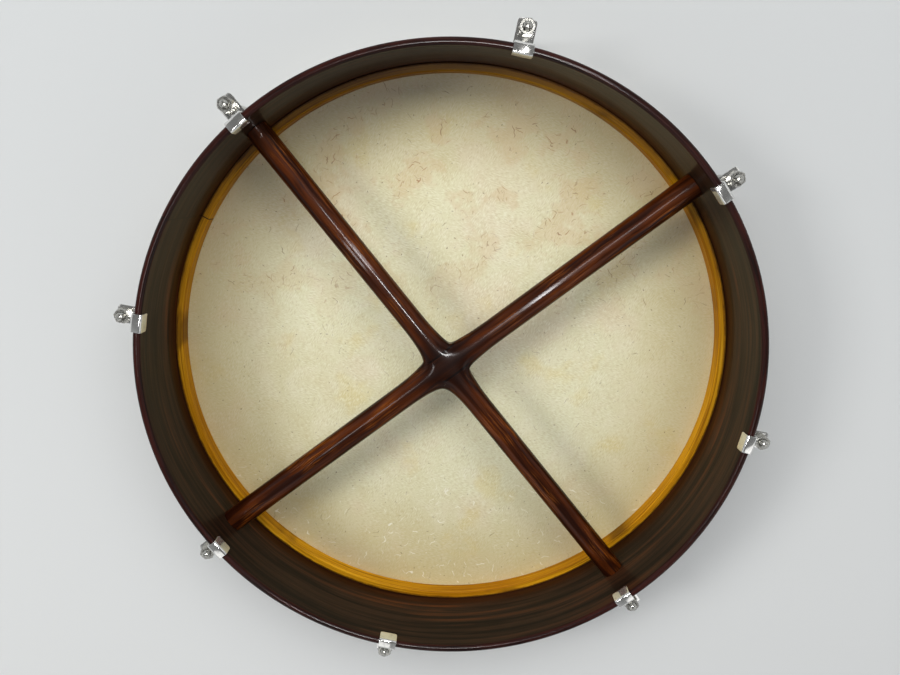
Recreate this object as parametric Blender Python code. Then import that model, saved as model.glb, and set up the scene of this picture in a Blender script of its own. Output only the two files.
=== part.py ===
"""Frame drum: an 18 inch single-headed drum with crossed hand bars and outside tuning hooks.

The drum lies on its head. Z is the drum's axis, z = 0 is the playing face of the skin, and the open
back is on top. Positions round the rim are angles in degrees from +X, anticlockwise seen from the back.
"""

from math import cos, pi, radians, sin

import bmesh
import bpy
from mathutils import Matrix, Vector

GAP = 0.0003            # clearance between pieces that touch
SEGMENTS = 72           # facets round the drum

# Frame
FRAME_RADIUS = 0.2286
FRAME_WALL = 0.0055
FRAME_HEIGHT = 0.076
BACK_ROUNDING = 0.0024
BEARING_ROUNDING = 0.0015

# Skin, and the two hoops that pull it
SKIN_THICKNESS = 0.0008
HOOP_RADIUS = 0.2300    # inner radius of both hoops
FLESH_HOOP_WALL = 0.0036
FLESH_HOOP_HEIGHT = 0.0045
FLESH_HOOP_ROUNDING = 0.0012
COUNTER_HOOP_WALL = 0.0030
COUNTER_HOOP_HEIGHT = 0.0120
COUNTER_HOOP_ROUNDING = 0.0010
COUNTER_HOOP_Z = 0.0080
SKIN_TAIL = 0.0052      # how far the folded skin hangs down outside the flesh hoop

# Bearing ring inside the head end of the frame
RING_WALL = 0.0060
RING_HEIGHT = 0.0105
RING_CHAMFER = 0.0010

# Crossbars
CROSSING = Vector((-0.0028, -0.0012, 0.0375))
MAIN_BAR_ANGLE = 37.0
CROSS_BAR_ANGLE = 127.9
MAIN_BAR_WIDTH = 0.0190
CROSS_BAR_WIDTH = 0.0180
BAR_THICKNESS = 0.0150
BAR_TOP_HALF = 0.0045   # control points of the oval section: half the top's width
BAR_SIDE_HALF = 0.0034  # and half the side's height
BAR_SMOOTHING = 1
FLARE = ((0.0220, 0.0012), (0.0330, 0.0002), (0.0450, 0.0), (0.1500, 0.0))   # distance, extra half-width
CORNER_TOP = 0.0060     # control points of the crossing's four corners, measured along each bar
CORNER_SIDES = (0.0120, 0.0128, 0.0134, 0.0120)
CORNER_CREASES = (0.7, 0.5, 0.2, 0.7)

# Screws through the frame into the bars' ends
SCREW_LENGTH = 0.032
SCREW_HEAD_RADIUS = 0.0040
SCREW_SHANK_RADIUS = 0.0020
SCREW_HEAD_DEPTH = 0.0022
SCREW_SIDES = 12
SLOT_WIDTH = 0.0008
SLOT_DEPTH = 0.0008

# Tuning clips, hooks and nuts
HOOK_ANGLES = (35.0, 77.9, 129.0, 169.9, 217.6, 257.1, 306.9, 346.8)
ROD_CIRCLE_RADIUS = 0.2420
ROD_RADIUS = 0.0030
ROD_END_DEPTH = 0.0080
HOOK_BEND_RADIUS = 0.0060
HOOK_TIP_RADIUS = 0.2305
STRIP_THICKNESS = 0.0011
STRIP_WIDTH = 0.0135
STRIP_BEND = 0.0014     # bend radius at the middle of the strip
TAB_DEPTH = 0.0080
TAB_CORNER = 0.0016
FLANGE_DEPTH = 0.0195
FLANGE_RADIUS = 0.2484
FLANGE_CORNER = 0.0026
FLANGE_HOLE_RADIUS = 0.0033
NUT_ACROSS_FLATS = 0.0100
NUT_HEIGHT = 0.0078
NUT_CHAMFER = 0.0006
NUT_RIM = 0.0001        # how far the chamfer's circle lies inside the flats
NUT_BORE_RADIUS = 0.0032


def clear_scene():
    for obj in list(bpy.data.objects):
        bpy.data.objects.remove(obj, do_unlink=True)


def material(name, colour, roughness, metallic=0.0):
    made = bpy.data.materials.new(name)
    made.use_nodes = True
    shader = made.node_tree.nodes["Principled BSDF"]
    shader.inputs["Base Color"].default_value = (*colour, 1.0)
    shader.inputs["Roughness"].default_value = roughness
    shader.inputs["Metallic"].default_value = metallic
    return made


def add_object(name, data, look=None, smooth=True):
    obj = bpy.data.objects.new(name, data)
    bpy.context.scene.collection.objects.link(obj)
    if look:
        data.materials.append(look)
    if smooth and isinstance(data, bpy.types.Mesh):
        data.shade_smooth()
        data.set_sharp_from_angle(angle=radians(35))
    return obj


def mesh_from(bm, name):
    bmesh.ops.recalc_face_normals(bm, faces=bm.faces)
    mesh = bpy.data.meshes.new(name)
    bm.to_mesh(mesh)
    bm.free()
    return mesh


def arc(centre, radius, start, end, steps):
    """Points on an arc in the (r, z) plane, from the start angle to the end angle in degrees."""
    return [
        (centre[0] + radius * cos(radians(a)), centre[1] + radius * sin(radians(a)))
        for a in (start + (end - start) * i / steps for i in range(steps + 1))
    ]


def turned_mesh(name, profile, segments, closed=True):
    """Spins an outline of (r, z) points round Z. An open outline starts and ends on the axis."""
    bm = bmesh.new()
    verts = [bm.verts.new((r, 0.0, z)) for r, z in profile]
    edges = [bm.edges.new(pair) for pair in zip(verts, verts[1:])]
    if closed:
        edges.append(bm.edges.new((verts[-1], verts[0])))
    bmesh.ops.spin(
        bm, geom=verts + edges, cent=(0, 0, 0), axis=(0, 0, 1), angle=2 * pi, steps=segments, use_merge=True
    )
    bmesh.ops.remove_doubles(bm, verts=bm.verts, dist=1e-6)
    return mesh_from(bm, name)


def cut(obj, cutter, name):
    modifier = obj.modifiers.new(name, "BOOLEAN")
    modifier.operation = "DIFFERENCE"
    modifier.solver = "EXACT"
    modifier.object = cutter


def as_cutter(obj):
    obj.hide_render = True
    obj.display_type = "WIRE"
    return obj


def evaluated_mesh(obj, name):
    """A plain mesh of the object with its modifiers applied."""
    bpy.context.view_layer.update()
    graph = bpy.context.evaluated_depsgraph_get()
    mesh = bpy.data.meshes.new_from_object(obj.evaluated_get(graph))
    mesh.name = name
    return mesh


# Frame, bearing ring, skin and hoops


def make_frame(look):
    outer, inner = FRAME_RADIUS, FRAME_RADIUS - FRAME_WALL
    base = SKIN_THICKNESS + GAP
    b, t = BEARING_ROUNDING, BACK_ROUNDING
    profile = [(inner, base)]
    profile += arc((outer - b, base + b), b, -90, 0, 3)
    profile += arc((outer - t, FRAME_HEIGHT - t), t, 0, 90, 4)
    profile += arc((inner + t, FRAME_HEIGHT - t), t, 90, 180, 4)
    return add_object("frame_shell", turned_mesh("frame_shell", profile, SEGMENTS), look)


def make_bearing_ring(look):
    outer = FRAME_RADIUS - FRAME_WALL - GAP
    inner = outer - RING_WALL
    base = SKIN_THICKNESS + GAP
    top = base + RING_HEIGHT
    profile = [(inner, base), (outer, base), (outer, top)]
    profile += [(inner + RING_CHAMFER, top), (inner, top - RING_CHAMFER)]
    return add_object("bearing_ring", turned_mesh("bearing_ring", profile, SEGMENTS), look)


def make_skin(look):
    """The head: a flat disc, turned up the frame's side, over the flesh hoop and down outside it."""
    wall = FRAME_RADIUS + GAP
    bend = (FRAME_RADIUS - BEARING_ROUNDING, SKIN_THICKNESS + GAP + BEARING_ROUNDING)
    inside = BEARING_ROUNDING + GAP
    fold_in = HOOP_RADIUS - GAP
    fold_out = HOOP_RADIUS + FLESH_HOOP_WALL + GAP
    fold_z = COUNTER_HOOP_Z + COUNTER_HOOP_HEIGHT + GAP + FLESH_HOOP_HEIGHT + GAP
    corner = SKIN_THICKNESS
    outer_face = [(0.0, 0.0)] + arc(bend, inside + SKIN_THICKNESS, -90, 0, 4)
    under_fold = [(fold_in, fold_z), (fold_out, fold_z), (fold_out, fold_z - SKIN_TAIL)]
    tail = [(fold_out + SKIN_THICKNESS, fold_z - SKIN_TAIL)]
    over_fold = arc((fold_out, fold_z), corner, 0, 90, 2) + arc((wall + corner, fold_z), corner, 90, 180, 2)
    inner_face = arc(bend, inside, 0, -90, 4) + [(0.0, SKIN_THICKNESS)]
    profile = outer_face + under_fold + tail + over_fold + inner_face
    return add_object("skin_head", turned_mesh("skin_head", profile, SEGMENTS, closed=False), look)


def make_hoop(name, wall, base, height, rounding, look):
    inner, outer, top = HOOP_RADIUS, HOOP_RADIUS + wall, base + height
    profile = [(inner, base)]
    profile += arc((outer - rounding, base + rounding), rounding, -90, 0, 2)
    profile += arc((outer - rounding, top - rounding), rounding, 0, 90, 2)
    profile += [(inner, top)]
    return add_object(name, turned_mesh(name, profile, SEGMENTS), look)


# Crossbars


def reach(origin, angle, radius):
    """How far a line from origin at this angle runs before it meets the circle of this radius."""
    d = Vector((cos(radians(angle)), sin(radians(angle))))
    along = origin.xy.dot(d)
    return -along + (along**2 - origin.xy.length_squared + radius**2) ** 0.5


def cage_half(half, inner):
    """The control distance that makes a smoothed oval section reach half, beside control points at inner."""
    return (48 * half - 2 * inner) / 46


def arm_ring(bm, angle, distance, half_width):
    """Eight control points of an arm's oval section, anticlockwise seen from the arm's end."""
    top, side = BAR_TOP_HALF, BAR_SIDE_HALF
    y = cage_half(half_width, top)
    z = cage_half(BAR_THICKNESS / 2, side)
    section = ((-top, z), (-y, side), (-y, -side), (-top, -z), (top, -z), (y, -side), (y, side), (top, z))
    turn = Matrix.Rotation(radians(angle), 4, "Z")
    return [bm.verts.new(turn @ Vector((distance, across, up))) for across, up in section]


def crossed_bars_mesh(name, end_radius):
    """Both bars as one smooth form: a cage of four arms that share the corner columns of the crossing."""
    angles = (MAIN_BAR_ANGLE, CROSS_BAR_ANGLE, MAIN_BAR_ANGLE + 180, CROSS_BAR_ANGLE + 180)
    widths = (MAIN_BAR_WIDTH / 2, CROSS_BAR_WIDTH / 2) * 2
    z = cage_half(BAR_THICKNESS / 2, BAR_SIDE_HALF)
    bm = bmesh.new()
    creases = bm.edges.layers.float.new("crease_edge")
    columns = []
    for i in range(4):
        pair = (radians(angles[i]), radians(angles[(i + 1) % 4]))
        diagonal = sum((Vector((cos(a), sin(a), 0.0)) for a in pair), Vector())
        side = CORNER_SIDES[i]
        levels = ((CORNER_TOP, z), (side, BAR_SIDE_HALF), (side, -BAR_SIDE_HALF), (CORNER_TOP, -z))
        columns.append([bm.verts.new(out * diagonal + Vector((0, 0, up))) for out, up in levels])
    for i in range(4):
        before = columns[i - 1]
        rings = [before + columns[i][::-1]]
        for distance, extra in FLARE:
            rings.append(arm_ring(bm, angles[i], distance, widths[i] + extra))
        rings.append(arm_ring(bm, angles[i], reach(CROSSING, angles[i], end_radius), widths[i]))
        for a, b in zip(rings, rings[1:]):
            for j in range(8):
                k = (j + 1) % 8
                bm.faces.new((a[j], b[j], b[k], a[k]))
        cap = bm.faces.new(rings[-1])
        for edge in cap.edges:
            edge[creases] = 1.0
    for column, crease in zip(columns, CORNER_CREASES):
        bm.edges.get((column[1], column[2]))[creases] = crease
    bm.faces.new([column[0] for column in columns])
    bm.faces.new([column[3] for column in columns])
    return mesh_from(bm, name)


def prism(name, outline, low, high):
    """A closed upright prism on a plan outline, standing at the crossing in line with the main bar."""
    bm = bmesh.new()
    floor = [bm.verts.new((x, y, low)) for x, y in outline]
    base = bm.faces.new(floor)
    raised = bmesh.ops.extrude_face_region(bm, geom=[base])["geom"]
    ceiling = [part for part in raised if isinstance(part, bmesh.types.BMVert)]
    bmesh.ops.translate(bm, verts=ceiling, vec=(0, 0, high - low))
    cutter = as_cutter(add_object(name, mesh_from(bm, name), smooth=False))
    cutter.location = CROSSING
    cutter.rotation_euler.z = radians(MAIN_BAR_ANGLE)
    return cutter


def both_ways(waist, half, far, along_main):
    """Plan outline of one bar's share of the crossing: its own width at the waist, wider along the mitres."""
    points = [(far, half + far - waist), (waist, half), (-waist, half), (-far, half + far - waist)]
    points += [(-x, -y) for x, y in points]
    return points if along_main else [(y, x) for x, y in points]


def one_way(waist, half, far, along_main, sign):
    """Plan outline of the same share on one side only, from the other bar's edge outwards."""
    edge = half + far - waist
    points = [(sign * waist, half), (sign * far, edge), (sign * far, -edge), (sign * waist, -half)]
    return points if along_main else [(y, x) for x, y in points]


def make_crossbars(look):
    """Two bars half-lapped at the crossing: the main bar runs whole across the top, the other below."""
    end_radius = FRAME_RADIUS * cos(pi / SEGMENTS) - FRAME_WALL - GAP
    form = add_object("crossed_bars", crossed_bars_mesh("crossed_bars", end_radius))
    form.location = CROSSING
    smooth = form.modifiers.new("smooth", "SUBSURF")
    smooth.levels = smooth.render_levels = BAR_SMOOTHING
    whole = evaluated_mesh(form, "crossed_bars_smooth")
    bpy.data.objects.remove(form, do_unlink=True)

    main_half = MAIN_BAR_WIDTH / 2
    cross_half = CROSS_BAR_WIDTH / 2
    far = FRAME_RADIUS
    tall = BAR_THICKNESS
    half_gap = GAP / 2
    bars = []
    for name, along_main, sign in (("crossbar_main", True, 1), ("crossbar_cross", False, -1)):
        bar = add_object(name, whole.copy(), look)
        bar.location = CROSSING
        # The other bar's share: right through the waist on its own level, and one way each side on this one.
        other_waist, other_half = (main_half, cross_half) if along_main else (cross_half, main_half)
        waist, half = other_waist - half_gap, other_half + half_gap
        low, high = sorted((-sign * tall, sign * half_gap))
        cut(bar, prism(f"{name}_lap", both_ways(waist, half, far, not along_main), low, high), "lap")
        low, high = sorted((-sign * half_gap, sign * tall))
        for side in (1, -1):
            outline = one_way(waist, half, far, not along_main, side)
            cut(bar, prism(f"{name}_side_{side}", outline, low, high), "side")
        bars.append(bar)
    return bars


# Screws


def box(name, low, high):
    """A plain box from its two opposite corners."""
    bm = bmesh.new()
    bmesh.ops.create_cube(bm, size=1.0)
    size = [h - l for l, h in zip(low, high)]
    middle = [(h + l) / 2 for l, h in zip(low, high)]
    bmesh.ops.scale(bm, vec=size, verts=bm.verts)
    bmesh.ops.translate(bm, vec=middle, verts=bm.verts)
    return as_cutter(add_object(name, mesh_from(bm, name), smooth=False))


def screw_profile(grow):
    """A countersunk screw's outline, as (radius, distance from the head's face)."""
    head, shank = SCREW_HEAD_RADIUS + grow, SCREW_SHANK_RADIUS + grow
    tip = SCREW_LENGTH + grow
    return [(0.0, -grow), (head, -grow), (shank, SCREW_HEAD_DEPTH), (shank, tip - 2 * shank), (0.0, tip)]


def make_bar_screws(look, shell, bars):
    """One screw through the frame into each end of each bar."""
    corners = ("upper_right", "lower_left", "upper_left", "lower_right")
    r = SCREW_HEAD_RADIUS
    slot = box("screw_slot", (-r, -SLOT_WIDTH / 2, -SLOT_DEPTH), (r, SLOT_WIDTH / 2, SLOT_DEPTH))
    plain_mesh = turned_mesh("screw_blank", screw_profile(0.0), SCREW_SIDES, closed=False)
    plain = add_object("screw_blank", plain_mesh)
    cut(plain, slot, "slot")
    screw_mesh = evaluated_mesh(plain, "bar_screw")
    hole_mesh = turned_mesh("screw_hole", screw_profile(GAP / 2), SCREW_SIDES, closed=False)
    for blank in (plain, slot):
        bpy.data.objects.remove(blank, do_unlink=True)
    screw_mesh.materials.append(look)
    for i, corner in enumerate(corners):
        bar, bar_angle = bars[i // 2]
        angle = bar_angle + 180 * (i % 2)
        run = reach(CROSSING, angle, FRAME_RADIUS * cos(pi / SEGMENTS) - GAP)
        direction = Vector((cos(radians(angle)), sin(radians(angle)), 0.0))
        turn = (-direction).to_track_quat("Z", "Y").to_matrix().to_4x4()
        matrix = Matrix.Translation(CROSSING + run * direction) @ turn
        screw = add_object(f"bar_screw_{corner}", screw_mesh)
        screw.matrix_world = matrix
        hole = as_cutter(add_object(f"screw_hole_{corner}", hole_mesh, smooth=False))
        hole.matrix_world = matrix
        cut(shell, hole, "screw_hole")
        cut(bar, hole, "screw_hole")


# Tuning clips, hooks and nuts


def strip_path():
    """The middle line of the clip's bent strip, as (r, z) points from the inner tab to the flange."""
    half = STRIP_THICKNESS / 2
    inner = FRAME_RADIUS - FRAME_WALL - 2 * GAP - half
    outer = FRAME_RADIUS + GAP + half
    top = FRAME_HEIGHT + GAP + half
    flange = FRAME_HEIGHT - FLANGE_DEPTH - half
    b = STRIP_BEND
    path = [(inner, FRAME_HEIGHT - TAB_DEPTH)]
    path += arc((inner + b, top - b), b, 180, 90, 4)
    path += arc((outer - b, top - b), b, 90, 0, 4)
    path += arc((outer + b, flange + b), b, 180, 270, 4)
    path += [(FLANGE_RADIUS, flange)]
    return [Vector(p) for p in path]


def make_clip_mesh(look):
    """A bent strip hooked over the frame's back edge, with a drilled flange standing out at its foot."""
    path = strip_path()
    bm = bmesh.new()
    sections = []
    for i, p in enumerate(path):
        before, after = path[max(i - 1, 0)], path[min(i + 1, len(path) - 1)]
        along = (after - before).normalized()
        side = Vector((-along.y, along.x)) * STRIP_THICKNESS / 2
        ring = []
        for offset, y in ((side, -1), (side, 1), (-side, 1), (-side, -1)):
            r, z = p + offset
            ring.append(bm.verts.new((r, y * STRIP_WIDTH / 2, z)))
        sections.append(ring)
    for a, b in zip(sections, sections[1:]):
        for i in range(4):
            j = (i + 1) % 4
            bm.faces.new((a[i], a[j], b[j], b[i]))
    bm.faces.new(sections[0])
    bm.faces.new(sections[-1])
    for ring, radius in ((sections[0], TAB_CORNER), (sections[-1], FLANGE_CORNER)):
        corners = [bm.edges.get((ring[1], ring[2])), bm.edges.get((ring[3], ring[0]))]
        bmesh.ops.bevel(bm, geom=corners, offset=radius, segments=3, affect="EDGES", profile=0.5)
    blank = add_object("clip_blank", mesh_from(bm, "clip_blank"))
    r, deep = FLANGE_HOLE_RADIUS, 3 * STRIP_THICKNESS
    drill_mesh = turned_mesh("flange_hole", [(0, deep), (r, deep), (r, -deep), (0, -deep)], 12, closed=False)
    drill = as_cutter(add_object("flange_hole", drill_mesh, smooth=False))
    drill.location = (ROD_CIRCLE_RADIUS, 0.0, FRAME_HEIGHT - FLANGE_DEPTH)
    cut(blank, drill, "hole")
    mesh = evaluated_mesh(blank, "clip")
    for helper in (blank, drill):
        bpy.data.objects.remove(helper, do_unlink=True)
    mesh.materials.append(look)
    return mesh


def make_nut_mesh(look):
    """A hexagon nut about the origin, standing on z = 0, with chamfered corners and a plain bore."""
    flat = NUT_ACROSS_FLATS / 2
    hexagon = (flat / cos(pi / 6), flat)
    circle = (flat - NUT_RIM, flat - NUT_RIM)
    bore = (NUT_BORE_RADIUS, NUT_BORE_RADIUS)
    outline = [(0.0, bore), (0.0, circle), (NUT_CHAMFER, hexagon)]
    outline += [(NUT_HEIGHT - z, radii) for z, radii in reversed(outline)]
    bm = bmesh.new()
    rings = []
    for z, radii in outline:
        spokes = [(radii[i % 2], i * pi / 6) for i in range(12)]
        rings.append([bm.verts.new((r * cos(a), r * sin(a), z)) for r, a in spokes])
    for a, b in zip(rings, rings[1:] + rings[:1]):
        for i in range(12):
            j = (i + 1) % 12
            bm.faces.new((a[i], a[j], b[j], b[i]))
    mesh = mesh_from(bm, "hook_nut")
    mesh.materials.append(look)
    return mesh


def make_hook_curve(look):
    """A J-shaped rod: straight beside the frame, then bent in under the counter hoop."""
    foot = COUNTER_HOOP_Z - GAP - ROD_RADIUS
    b = HOOK_BEND_RADIUS
    path = [(ROD_CIRCLE_RADIUS, FRAME_HEIGHT - ROD_END_DEPTH)]
    path += arc((ROD_CIRCLE_RADIUS - b, foot + b), b, 0, -90, 5)
    path += [(HOOK_TIP_RADIUS, foot)]
    curve = bpy.data.curves.new("hook_rod", "CURVE")
    curve.dimensions = "3D"
    curve.bevel_depth = ROD_RADIUS
    curve.bevel_resolution = 3
    curve.use_fill_caps = True
    spline = curve.splines.new("POLY")
    spline.points.add(len(path) - 1)
    for point, (r, z) in zip(spline.points, path):
        point.co = (r, 0.0, z, 1.0)
    curve.materials.append(look)
    return curve


def make_tuners(nickel, steel):
    clip_mesh = make_clip_mesh(nickel)
    hook_curve = make_hook_curve(steel)
    nut_mesh = make_nut_mesh(steel)
    for number, angle in enumerate(HOOK_ANGLES, 1):
        turn = radians(angle)
        clip = add_object(f"clip_{number}", clip_mesh)
        clip.rotation_euler.z = turn
        hook = add_object(f"hook_rod_{number}", hook_curve)
        hook.rotation_euler.z = turn
        nut = add_object(f"hook_nut_{number}", nut_mesh)
        nut.location = (
            ROD_CIRCLE_RADIUS * cos(turn),
            ROD_CIRCLE_RADIUS * sin(turn),
            FRAME_HEIGHT - FLANGE_DEPTH + GAP,
        )
        nut.rotation_euler.z = turn


def build():
    clear_scene()
    mahogany = material("mahogany", (0.075, 0.020, 0.012), 0.22)
    bar_wood = material("bar_wood", (0.130, 0.030, 0.012), 0.15)
    ring_wood = material("ring_wood", (0.42, 0.21, 0.03), 0.35)
    goatskin = material("goatskin", (0.62, 0.55, 0.36), 0.75)
    nickel = material("nickel", (0.78, 0.77, 0.74), 0.18, 1.0)
    steel = material("steel", (0.50, 0.49, 0.46), 0.35, 1.0)
    brass = material("brass", (0.60, 0.45, 0.20), 0.35, 1.0)

    shell = make_frame(mahogany)
    make_bearing_ring(ring_wood)
    make_skin(goatskin)
    make_hoop(
        "counter_hoop", COUNTER_HOOP_WALL, COUNTER_HOOP_Z, COUNTER_HOOP_HEIGHT, COUNTER_HOOP_ROUNDING, nickel
    )
    flesh_z = COUNTER_HOOP_Z + COUNTER_HOOP_HEIGHT + GAP
    make_hoop("flesh_hoop", FLESH_HOOP_WALL, flesh_z, FLESH_HOOP_HEIGHT, FLESH_HOOP_ROUNDING, steel)
    main, cross = make_crossbars(bar_wood)
    make_bar_screws(brass, shell, ((main, MAIN_BAR_ANGLE), (cross, CROSS_BAR_ANGLE)))
    make_tuners(nickel, steel)


build()
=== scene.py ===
from math import atan2, ceil, cos, pi, radians, sin

import bmesh
import bpy
from mathutils import Matrix, Vector, noise


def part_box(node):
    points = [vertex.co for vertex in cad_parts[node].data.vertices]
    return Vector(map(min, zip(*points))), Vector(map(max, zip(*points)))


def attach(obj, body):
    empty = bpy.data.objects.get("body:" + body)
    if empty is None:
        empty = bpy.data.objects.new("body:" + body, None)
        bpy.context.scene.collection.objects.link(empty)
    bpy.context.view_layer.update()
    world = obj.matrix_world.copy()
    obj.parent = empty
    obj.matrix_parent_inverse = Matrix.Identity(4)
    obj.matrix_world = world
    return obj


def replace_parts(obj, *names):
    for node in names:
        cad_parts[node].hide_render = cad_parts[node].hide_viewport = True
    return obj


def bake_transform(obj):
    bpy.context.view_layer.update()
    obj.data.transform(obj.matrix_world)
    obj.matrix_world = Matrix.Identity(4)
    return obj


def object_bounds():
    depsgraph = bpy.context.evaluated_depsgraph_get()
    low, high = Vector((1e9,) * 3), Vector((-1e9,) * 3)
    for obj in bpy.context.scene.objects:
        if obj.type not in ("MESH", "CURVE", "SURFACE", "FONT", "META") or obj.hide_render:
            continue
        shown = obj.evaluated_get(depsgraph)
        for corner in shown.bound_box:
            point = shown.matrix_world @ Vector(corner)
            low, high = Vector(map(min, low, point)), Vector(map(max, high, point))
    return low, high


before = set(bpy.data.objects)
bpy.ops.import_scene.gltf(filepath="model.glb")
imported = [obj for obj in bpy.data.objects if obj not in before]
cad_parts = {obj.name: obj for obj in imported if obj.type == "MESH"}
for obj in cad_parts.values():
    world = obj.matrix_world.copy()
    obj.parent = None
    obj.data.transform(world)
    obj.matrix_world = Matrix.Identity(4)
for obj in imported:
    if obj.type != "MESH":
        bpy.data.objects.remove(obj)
cad_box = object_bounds()

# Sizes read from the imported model, in metres

GAP = 0.0003
SHELL_LOW, SHELL_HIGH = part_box("frame_shell")
RING_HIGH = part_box("bearing_ring")[1]
FLESH_LOW, FLESH_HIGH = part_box("flesh_hoop")
OUTER = SHELL_HIGH.x
INNER = RING_HIGH.x + GAP
TOP = SHELL_HIGH.z
BASE = SHELL_LOW.z
SKIN_THICKNESS = BASE - GAP
CAD_SEGMENTS = 72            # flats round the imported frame, in which the screws' heads are sunk
RING_WALL = 0.0060
RING_CHAMFER = 0.0010
HOOP_INNER = 0.2300
SEAM_ANGLE = 150.0           # where the bent wood of the frame and of the ring is joined

CROSSING = Vector((-0.0028, -0.0012, 0.0375))
MAIN_BAR_ANGLE = 37.0
CROSS_BAR_ANGLE = 127.9
MAIN_BAR_WIDTH = 0.0190
CROSS_BAR_WIDTH = 0.0180
BAR_THICKNESS = 0.0150

ROD_RADIUS = 0.0030
ROD_BEND = 0.0060
ROD_TIP_RADIUS = 0.2305      # how far from the drum's axis the hooks' feet reach in
THREAD_PITCH = 0.0010
THREAD_DEPTH = 0.00050
THREAD_LENGTH = 0.0200
STRIP_THICKNESS = 0.0011
STRIP_WIDTH = 0.0135
STRIP_BEND = 0.0014
TAB_DEPTH = 0.0080
TAB_CORNER = 0.0016
FLANGE_END = 0.2484
FLANGE_CORNER = 0.0026
FLANGE_HOLE = 0.0033
NUT_HALF_FLATS = 0.0050
TUNERS = range(1, 9)

FLOOR_OPENING = 0.222        # radius, inside the drum's footprint
FLOOR_RADIUS = 5.0


def middle(node):
    low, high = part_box(node)
    return (low + high) / 2


def tuner_angle(number):
    nut = middle(f"hook_nut_{number}")
    return atan2(nut.y, nut.x)


# Meshes


def link(name, data, look, body="root"):
    obj = bpy.data.objects.new(name, data)
    bpy.context.scene.collection.objects.link(obj)
    if look:
        data.materials.clear()
        data.materials.append(look)
    if body:
        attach(obj, body)
    return obj


def smooth(mesh, sharp=35.0):
    mesh.shade_smooth()
    mesh.set_sharp_from_angle(angle=radians(sharp))
    return mesh


def arc(centre, radius, start, end, steps):
    """Points on an arc in the (r, z) plane, from the start angle to the end angle in degrees."""
    return [
        (centre[0] + radius * cos(radians(a)), centre[1] + radius * sin(radians(a)))
        for a in (start + (end - start) * i / steps for i in range(steps + 1))
    ]


def line(start, end, steps):
    """Points from start to end, leaving out both."""
    return [
        (start[0] + (end[0] - start[0]) * i / steps, start[1] + (end[1] - start[1]) * i / steps)
        for i in range(1, steps)
    ]


def turned(name, profile, segments, closed=True, shape=None, sharp=35.0):
    """Spins (r, z) points round Z. A point on the axis becomes one vertex; shape may move any other."""
    verts, rows = [], []
    for r, z in profile:
        if r < 1e-7:
            rows.append([len(verts)] * segments)
            verts.append((0.0, 0.0, z))
            continue
        rows.append(list(range(len(verts), len(verts) + segments)))
        for i in range(segments):
            a = 2 * pi * i / segments
            rr, zz = shape(a, r, z) if shape else (r, z)
            verts.append((rr * cos(a), rr * sin(a), zz))
    faces = []
    pairs = list(zip(rows, rows[1:]))
    if closed:
        pairs.append((rows[-1], rows[0]))
    for low, high in pairs:
        for i in range(segments):
            j = (i + 1) % segments
            corners = [low[i], low[j], high[j], high[i]]
            face = [v for k, v in enumerate(corners) if v not in corners[:k]]
            if len(face) > 2:
                faces.append(face)
    mesh = bpy.data.meshes.new(name)
    mesh.from_pydata(verts, [], faces)
    bm = bmesh.new()
    bm.from_mesh(mesh)
    bmesh.ops.recalc_face_normals(bm, faces=bm.faces)
    bm.to_mesh(mesh)
    bm.free()
    return smooth(mesh, sharp)


def evaluated(obj, name):
    """A plain mesh of the object with its modifiers applied; the object goes."""
    bpy.context.view_layer.update()
    graph = bpy.context.evaluated_depsgraph_get()
    mesh = bpy.data.meshes.new_from_object(obj.evaluated_get(graph))
    mesh.name = name
    bpy.data.objects.remove(obj, do_unlink=True)
    return mesh


def helper(name, mesh):
    obj = bpy.data.objects.new(name, mesh)
    bpy.context.scene.collection.objects.link(obj)
    return obj


def cut(obj, cutter):
    modifier = obj.modifiers.new("cut", "BOOLEAN")
    modifier.operation = "DIFFERENCE"
    modifier.solver = "EXACT"
    modifier.object = cutter


def mesh_of(bm, name):
    bmesh.ops.recalc_face_normals(bm, faces=bm.faces)
    mesh = bpy.data.meshes.new(name)
    bm.to_mesh(mesh)
    bm.free()
    return mesh


# Materials


def srgb(*colour):
    """A linear colour from 0-255 display values."""
    return tuple(((c / 255 + 0.055) / 1.055) ** 2.4 if c > 10 else c / 255 / 12.92 for c in colour)


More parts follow.
